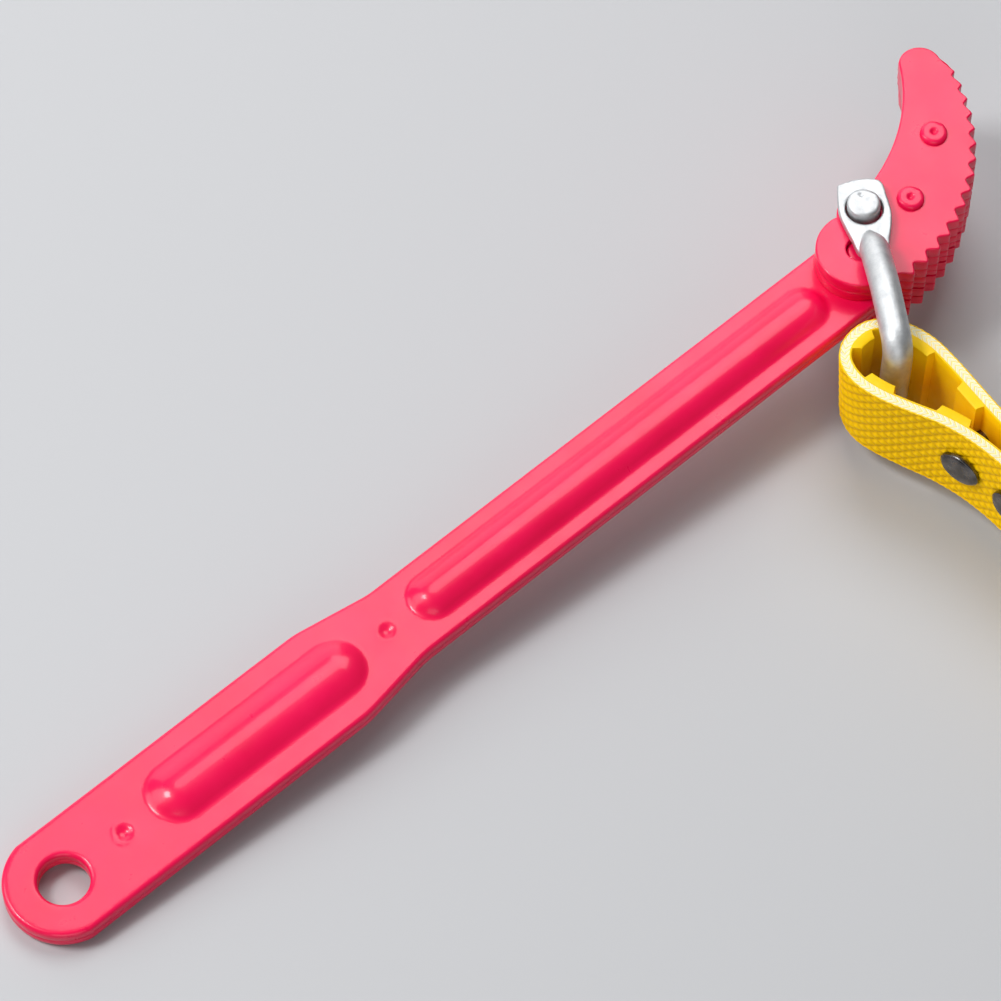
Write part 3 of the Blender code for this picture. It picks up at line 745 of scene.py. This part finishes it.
def cheek_loops(behind):
    """A cheek plate's outline, closed round the boss, and its four holes."""
    outline = head_edge(behind) + arc(BOSS_CENTRE, BOSS_RADIUS, *BOSS_ARC, 44)
    holes = [circle(place, HEAD_RIVET_SHANK + HOLE_GAP, 24) for place in HEAD_RIVETS.values()]
    holes += [circle(PIN_XY, PIN_RADIUS + HOLE_GAP), circle(BOSS_CENTRE, BOSS_RIVET_RADIUS)]
    return [outline[::-1], *holes]


def handle_loops(behind):
    """A handle sheet's outline, with its end of the head, and the hanging hole."""
    upper = [(SHANK_END_X, SHANK_HALF_WIDTH), (NECK_X[1], SHANK_HALF_WIDTH)]
    upper += [(NECK_X[0], GRIP_HALF_WIDTH), (HANG_HOLE_X, GRIP_HALF_WIDTH)]
    side = [upper[0]]
    side += fillet(upper[0], upper[1], upper[2], NECK_ROUND)
    side += fillet(upper[1], upper[2], upper[3], NECK_ROUND)
    start = math.degrees(math.asin(GRIP_HALF_WIDTH / TIP_RADIUS))
    tip = arc((HANG_HOLE_X, 0.0), TIP_RADIUS, 180.0 + start, 180.0 - start, 44)
    lower = [(x, -y) for x, y in side]
    outline = evenly(head_edge(behind) + lower + tip + side[::-1], 1.0)
    return [outline[::-1], circle((HANG_HOLE_X, 0.0), HANG_HOLE_RADIUS, 56)]


def handle_relief(points):
    """The pressed ribs, the spot weld marks and the slight unevenness of a pressing."""
    x, y = points[:, 0], points[:, 1]
    height = np.zeros(len(points))
    for rib in RIBS:
        beyond = np.maximum(np.maximum(rib["from_x"] - x, x - rib["to_x"]), 0.0)
        share = np.sqrt(beyond**2 + y**2) / rib["radius"]
        dome = rib["height"] * (1.0 - np.minimum(share, 3.0) ** RIB_SQUARE)
        height += 0.5 * (dome + np.sqrt(dome**2 + RIB_FOOT**2)) * (share < 2.9)
    for mark in WELD_MARKS_X:
        distance = np.hypot(x - mark, y) / WELD_MARK_RADIUS
        height -= WELD_MARK_DEPTH * np.exp(-(distance**4))
        height += WELD_RIM_HEIGHT * np.exp(-(((distance - WELD_RIM_AT) / WELD_RIM_WIDTH) ** 2))
    height += UNEVENNESS * np.sin(x / 9.0 + 0.6 * np.sin(x / 23.0)) * np.cos(y / 5.0)
    return height


def handle(look):
    """The two stamped sheets, back to back."""
    for half, turn_over in (("upper", False), ("lower", True)):
        loops = handle_loops(PLATE_OFFSETS[f"{half}_sheet"])
        data = pressed(loops, SEAM, SHEET, SHEET_ROUND, SEAM_ROUND, SHEET_SPACING, handle_relief)
        data = flipped(data) if turn_over else data
        node = f"handle_{half}_sheet"
        piece(f"handle_{half}_half", data, TOOL, look, "handle", node, sharp=PLATE_SHARP)


def cheeks(look):
    """The four plates that make the head thicker, two on each face of the handle."""
    for layer, name in ((0, "inner"), (1, "outer")):
        low = SHEET + layer * CHEEK + SEAM
        high = SHEET + (layer + 1) * CHEEK
        for face, turn_over in (("upper", False), ("lower", True)):
            loops = cheek_loops(PLATE_OFFSETS[f"{face}_{name}"])
            data = pressed(loops, low, high, CHEEK_ROUND, SEAM_ROUND, CHEEK_SPACING)
            data = flipped(data) if turn_over else data
            node = f"{face}_{name}_cheek"
            piece(f"head_{name}_plate_{face}", data, TOOL, look, "handle", node, sharp=PLATE_SHARP)


def both_ends(profile):
    """A profile from the top of the axis to the mid plane, with the same again below it."""
    return profile + [(radius, -height) for radius, height in reversed(profile)]


def head_rivets(look):
    """Low round heads with a dimple in the middle, slightly uneven, on both faces."""
    face = HEAD_HALF
    head = [(0.0, face + 0.62), (0.3, face + 0.64), (0.62, face + 0.95), (0.85, face + 1.16)]
    head += [(1.2, face + 1.22), (2.2, face + 1.18), (2.75, face + 1.02), (3.1, face + 0.6)]
    head += [(3.2, face + 0.06)]
    profile = rounded_profile(head) + [(HEAD_RIVET_SHANK, face), (HEAD_RIVET_SHANK, 1.0)]
    for name, place in HEAD_RIVETS.items():
        data = turned(both_ends(profile), ripple=lambda verts: wobble(verts, 0.09, 0.7))
        piece(f"{name}_painted", data, upright_at(place), look, "handle", name)


def boss_rivet(look):
    """A plain rivet that ends below the faces of the head."""
    top = HEAD_HALF - BOSS_RIVET_SUNK
    profile = [(0.0, top - 0.1), (1.6, top - 0.05), (2.4, top - 0.1), (2.7, top - 0.3), (2.95, top - 0.9)]
    data = turned(both_ends(rounded_profile(profile) + [(2.95, 1.0)]))
    piece("boss_rivet_painted", data, upright_at(BOSS_CENTRE), look, "handle", "boss_rivet")


def pin_ripple(verts):
    """The pin's struck end: not quite round, with a small dent off its middle."""
    verts = wobble(verts, 0.16, 0.45)
    dent = np.hypot(verts[:, 0] - PIN_DENT[0], verts[:, 1] - PIN_DENT[1]) / PIN_DENT_RADIUS
    at_end = abs(verts[:, 2]) > PIN_END - 1.0
    verts[:, 2] -= np.sign(verts[:, 2]) * PIN_DENT_DEPTH * np.exp(-(dent**2)) * at_end
    return verts


def shackle_pin(look):
    """The headless pin that the shackle's eyes turn on."""
    top = PIN_END + 0.3
    end = [(0.0, top), (0.7, top), (1.4, top - 0.01), (2.2, top - 0.03), (3.1, top - 0.09)]
    end += [(3.55, top - 0.28), (3.75, top - 0.6), (PIN_SHAFT_RADIUS, top - 1.2)]
    profile = rounded_profile(end) + [(PIN_SHAFT_RADIUS, z) for z in (11.0, 9.0, 1.0)]
    data = turned(both_ends(profile), ripple=pin_ripple)
    piece("shackle_pin_end", data, upright_at(PIN_XY), look, "handle", "shackle_pin")


# ---------------------------------------------------------------- shackle


def rod(path, radii, sides=40):
    """Mesh data of a round rod along a path that stays in the plane y = 0, with a radius for each point."""
    verts, faces = [], []
    sideways = Vector((0.0, 1.0, 0.0))
    for i, (point, radius) in enumerate(zip(path, radii, strict=True)):
        along = (path[min(i + 1, len(path) - 1)] - path[max(i - 1, 0)]).normalized()
        across = Vector((-along.z, 0.0, along.x))
        for k in range(sides):
            angle = 2 * math.pi * k / sides
            verts.append(point + radius * (math.cos(angle) * across + math.sin(angle) * sideways))
    for i in range(len(path) - 1):
        here, there = i * sides, (i + 1) * sides
        for k in range(sides):
            following = (k + 1) % sides
            faces.append((here + k, here + following, there + following, there + k))
    faces.append(tuple(range(sides))[::-1])
    faces.append(tuple(range((len(path) - 1) * sides, len(path) * sides)))
    return np.array([tuple(v) for v in verts]), faces


def shackle_route():
    """The rod's middle in the shackle's frame, and its radius: each end tapers into its eye."""
    arm = through([*NOSE, *ARM_RISE], 0.8)
    arm += fillet(ARM_RISE[-1], (CROSSBAR_X, ARM_SPREAD), (CROSSBAR_X, 0.0), BEND_RADIUS)
    arm += [(CROSSBAR_X, z) for z in (8.0, 6.0, 4.0, 2.0)]
    arm = [Vector((x, 0.0, z)) for x, z in arm]
    route = arm + [Vector((CROSSBAR_X, 0.0, 0.0))] + [Vector((p.x, 0.0, -p.z)) for p in reversed(arm)]
    radii = []
    for point in route:
        full = float(smooth((point.x - NOSE_X) / NOSE_X)) ** 0.7
        radii.append(ROD_RADIUS * (NOSE_RADIUS + (1.0 - NOSE_RADIUS) * full))
    return route, radii


def shackle(look):
    """The bent rod and its flattened eyes, run together as a forging is."""
    parts = [rod(*shackle_route())]
    near = HEAD_HALF + EYE_GAP
    outline = [tuple(p) for p in through([*EYE_OUTLINE, EYE_OUTLINE[0]], 1.2)][:-1]
    area = sum(a[0] * b[1] - a[1] * b[0] for a, b in zip(outline, [*outline[1:], outline[0]], strict=True))
    outline = outline if area > 0 else outline[::-1]
    loops = [outline, circle(EYE_HOLE_AT, EYE_HOLE_RADIUS)]
    eye = pressed(loops, near, near + EYE_THICK, EYE_ROUND, EYE_ROUND)
    parts += [eye, flipped(eye)]
    verts = np.concatenate([data[0] for data in parts])
    faces, offset = [], 0
    for data in parts:
        faces += [tuple(int(i) + offset for i in face) for face in data[1]]
        offset += len(data[0])
    made = piece("shackle_forging", (verts, faces), SHACKLE, look, "shackle", "shackle", sharp=180.0)
    blend = made.modifiers.new("forge", "REMESH")
    blend.mode = "VOXEL"
    blend.voxel_size = FORGE_VOXEL * MM
    blend.use_smooth_shade = True
    soften = made.modifiers.new("soften", "SMOOTH")
    soften.factor = 0.5
    soften.iterations = 4


# ---------------------------------------------------------------- belt


def belt_plan():
    """The belt's middle in plan, in the tool frame: through the route's points, straight on to the roll, and
    round its turns."""
    heading = math.radians(ROLL_HEADING)
    ahead = Vector((math.cos(heading), math.sin(heading)))
    left = Vector((-ahead.y, ahead.x))
    entry = ROLL_CENTRE - left * ROLL_RADIUS
    plan = through([*BELT_ROUTE, tuple(entry - ahead * ROLL_LEAD), tuple(entry)], 1.0)
    start = math.atan2(-left.y, -left.x)
    steps = round(ROLL_TURNS * 180)
    for i in range(1, steps + 1):
        turn = ROLL_TURNS * 2 * math.pi * i / steps
        radius = ROLL_RADIUS - ROLL_PITCH * turn / (2 * math.pi)
        plan.append(ROLL_CENTRE + radius * Vector((math.cos(start + turn), math.sin(start + turn))))
    return np.array([tuple(p) for p in plan])


def belt_centre():
    """(lengths, plan) of the belt's middle, half a millimetre apart and without kinks."""
    plan = belt_plan()
    run = np.concatenate([[0.0], np.cumsum(np.linalg.norm(np.diff(plan, axis=0), axis=1))])
    lengths = np.linspace(0.0, run[-1], round(run[-1] * 2) + 1)
    plan = np.column_stack([np.interp(lengths, run, plan[:, k]) for k in range(2)])
    for _ in range(4):
        plan[1:-1] = 0.25 * plan[:-2] + 0.5 * plan[1:-1] + 0.25 * plan[2:]
    return lengths, plan


def belt_line(lengths):
    """(plan, places, sides, ups) at lengths along the belt, in the row frame, in millimetres."""
    even, middle = belt_centre()
    plan = np.column_stack([np.interp(lengths, even, middle[:, k]) for k in range(2)])
    share = smooth((plan[:, 1] - SETTLE_Y[0]) / (SETTLE_Y[1] - SETTLE_Y[0]))
    share[lengths > lengths[np.argmin(np.abs(plan[:, 1] - SETTLE_Y[1]))]] = 1.0
    rotation = np.array(TOOL.to_3x3())
    places = np.column_stack([plan, np.zeros(len(plan))]) @ rotation.T + np.array(TOOL.translation) / MM
    places[:, 2] += share * (FLOOR_GAP + BELT_WIDTH / 2 - places[:, 2])
    lean = smooth((plan[:, 0] - LEAN_X[0]) / (LEAN_X[1] - LEAN_X[0]))
    ups = rotation[:, 2] * (1 - share[:, None]) + np.array([0.0, 0.0, 1.0]) * share[:, None]
    ups += LOOP_LEAN * lean[:, None]
    ups /= np.linalg.norm(ups, axis=1)[:, None]
    along = np.gradient(places, lengths, axis=0)
    sides = np.cross(ups, along)
    sides /= np.linalg.norm(sides, axis=1)[:, None]
    return plan, places, sides, ups


def first_lug():
    """The length along the belt at the middle of the loop's end lug."""
    even, middle = belt_centre()
    return even[np.argmin(np.hypot(*(middle - np.array(LUG_AT)).T))]


def stations():
    """Lengths along the belt: close together on the loop and the run, further apart on the roll, and at
    each lug's corners."""
    total = belt_centre()[0][-1]
    fine = np.arange(0.0, FINE_LENGTH, BELT_STEP)
    coarse = np.arange(FINE_LENGTH, total, ROLL_STEP)
    lugs = np.arange(first_lug() % LUG_PITCH, total, LUG_PITCH)
    flanks = (-LUG_FLANK, LUG_FLANK)
    corners = [lugs + sign * (LUG_LENGTH + flank) / 2 for sign in (-1, 1) for flank in flanks]
    every = np.unique(np.round(np.concatenate([fine, coarse, *corners, [total]]), 3))
    every = every[(every >= 0.0) & (every <= total)]
    return every[np.concatenate([[True], np.diff(every) > 0.04])]


def lug_heights(lengths):
    """How far the inner face stands out at each length."""
    off = np.abs((lengths - first_lug() + LUG_PITCH / 2) % LUG_PITCH - LUG_PITCH / 2)
    return LUG_HEIGHT * np.clip(((LUG_LENGTH + LUG_FLANK) / 2 - off) / LUG_FLANK, 0.0, 1.0)


def knurl(lengths, height):
    """How deep the diamond pattern's grooves are pressed into the outer face. On the roll the look alone
    shows them."""
    a = lengths / KNURL_PITCH[0] + height / KNURL_PITCH[1]
    b = lengths / KNURL_PITCH[0] - height / KNURL_PITCH[1]
    groove = np.minimum(np.abs(a - np.round(a)), np.abs(b - np.round(b)))
    return KNURL_DEEP * (1.0 - smooth(groove / KNURL_GROOVE)) * (lengths < FINE_LENGTH)


def belt_columns():
    """The belt's section, anticlockwise from its outer upper edge: (offset towards the inside, height, share
    of the lug, what it is the start of)."""
    half = BELT_WIDTH / 2
    flat = half - EDGE_ROUND
    edge = [(-1.37, 0.1, 0.0), (CORE_EDGES[0] - CORE_RIM, 0.0, 0.0), (CORE_EDGES[0], EDGE_DIP, 0.0)]
    edge += [(CORE_EDGES[1], EDGE_DIP, 0.0), (CORE_EDGES[1] + CORE_RIM, 0.0, 0.0), (1.3, 0.02, 0.9)]
    kinds = ("rim", "rim", "core", "rim", "rim", "rim")
    columns = [(-HALF_THICK, height, 0.0, "knurl") for height in np.linspace(flat, -flat, KNURL_COLUMNS)]
    columns += [(n, -half + dip, lug, kind) for (n, dip, lug), kind in zip(edge, kinds, strict=True)]
    columns += [(HALF_THICK, height, 1.0, "rim") for height in np.linspace(-flat, flat, LUG_COLUMNS)]
    columns += [(n, half - dip, lug, kind) for (n, dip, lug), kind in zip(edge[::-1], kinds, strict=True)]
    return columns


def belt(rubber, knurled, core):
    """The whole belt in one piece, and its middle as points in metres."""
    lengths = stations()
    _, places, sides, ups = belt_line(lengths)
    lug = lug_heights(lengths)
    columns = belt_columns()
    width = len(columns)
    verts = np.empty((len(lengths), width, 3))
    wave = SCALLOP * np.cos(4 * math.pi * lengths / KNURL_PITCH[0])
    for k, (offset, height, lugged, kind) in enumerate(columns):
        out = offset + lug * lugged
        rise = np.full(len(lengths), height)
        if kind == "knurl":
            out = out + knurl(lengths, height)
        elif offset < CORE_EDGES[0]:
            rise = rise + math.copysign(1.0, height) * wave
        verts[:, k] = places + sides * out[:, None] + ups * rise[:, None]
    looks = {"rim": 0, "knurl": 1, "core": 2}
    faces, kinds, unwrapped = [], [], []
    for i, (before, after) in enumerate(zip(lengths, lengths[1:], strict=False)):
        here, there = i * width, (i + 1) * width
        for k in range(width):
            j = (k + 1) % width
            faces.append((here + k, here + j, there + j, there + k))
            kind = columns[k][3]
            kinds.append(looks[kind])
            way = 0 if kind == "core" else 1
            first, last = columns[k][way], columns[j][way]
            unwrapped += [before, first, before, last, after, last, after, first]
    faces += [tuple(range(width))[::-1], tuple(range((len(lengths) - 1) * width, len(lengths) * width))]
    kinds += [0, 0]
    unwrapped += [0.0] * (4 * width)
    whole = Matrix.Identity(4)
    data = (verts.reshape(-1, 3), faces)
    made = piece("belt_strap", data, whole, rubber, "belt", ("belt", "belt_roll"))
    made.data.materials.append(knurled)
    made.data.materials.append(core)
    made.data.polygons.foreach_set("material_index", np.array(kinds, np.int32))
    made.data.uv_layers.new(name="belt").data.foreach_set("uv", np.array(unwrapped, np.float32))
    return made, places * MM


def belt_seat(y):
    """(frame, gap) of a belt rivet at this y: its frame's Z is square to the belt's front layer, out of the
    loop, and the gap is from the middle of that layer to the middle of the back one."""
    lengths = np.arange(0.0, FINE_LENGTH, 1.0)
    plan, places, sides, ups = belt_line(lengths)
    front = [i for i in range(len(plan)) if plan[i][0] < LAYERS_PART_X and plan[i][1] > FRONT_END_Y]
    nearest = min(front, key=lambda i: abs(plan[i][1] - y))
    out, up = Vector(-sides[nearest]), Vector(ups[nearest])
    out = (out - RIVET_TILT * up).normalized()
    up = (up - up.dot(out) * out).normalized()
    seat = Matrix((up.cross(out), up, out)).transposed().to_4x4()
    seat.translation = Vector(places[nearest]) * MM
    back = [i for i in range(len(plan)) if plan[i][0] > LAYERS_PART_X and i < len(plan) // 3]
    behind = min(back, key=lambda i: abs(plan[i][1] - y))
    return seat, Vector(places[behind] - places[nearest]).dot(-out)


def belt_rivets(look):
    """Flat steel heads outside, and burr washers under the clinched ends."""
    made = []
    for number, y in enumerate(BELT_RIVETS_Y, 1):
        seat, away = belt_seat(y)
        under = HALF_THICK - 0.05
        top = under + BELT_RIVET_PROUD
        head = [(0.0, top), (1.5, top - 0.01), (3.0, top - 0.04), (4.25, top - 0.12), (4.25, top - 0.12)]
        head += [(4.55, top - 0.26), (4.8, top - 0.5), (4.8, top - 0.5)]
        head += [(5.02, top - 0.62), (BELT_RIVET_HEAD, top - 0.85), (BELT_RIVET_HEAD, under + 0.1)]
        washer_top = -away - HALF_THICK - WASHER_GAP
        low = washer_top - WASHER_THICK
        clinch = [(2.6, low), (3.15, low - 0.35), (3.0, low - 0.95), (2.3, low - 1.15)]
        clinch += [(1.4, low - 0.75), (0.0, low - 0.6)]
        profile = rounded_profile(head) + [(BELT_RIVET_SHANK, under), (BELT_RIVET_SHANK, low)]
        profile += rounded_profile(clinch)
        node = f"belt_rivet_{number}"
        made.append(piece(f"{node}_head", turned(profile), seat, look, "belt", node))
        rim = arc((0.0, 0.0), WASHER_RADIUS, 0.0, 352.0, 44)
        ring = [rim, circle((0.0, 0.0), BELT_RIVET_SHANK + HOLE_GAP, 32)]
        washer = pressed(ring, low, washer_top, WASHER_ROUND, WASHER_ROUND)
        node = f"belt_washer_{number}"
        made.append(piece(f"{node}_burr", washer, seat, look, "belt", node))
    return made


# ---------------------------------------------------------------- the whole

noise.seed_set(NOISE_SEED)
camera()
floor()
lights()
RED = enamel()
ZINC = galvanised()
STEEL = dark_steel()
YELLOW = belt_rubber()
KNURLED = belt_knurl()
CORE = belt_core()

strap, centreline = belt(YELLOW, KNURLED, CORE)
on_belt = belt_rivets(STEEL)
handle(RED)
cheeks(RED)
head_rivets(RED)
boss_rivet(RED)
shackle_pin(ZINC)
shackle(ZINC)
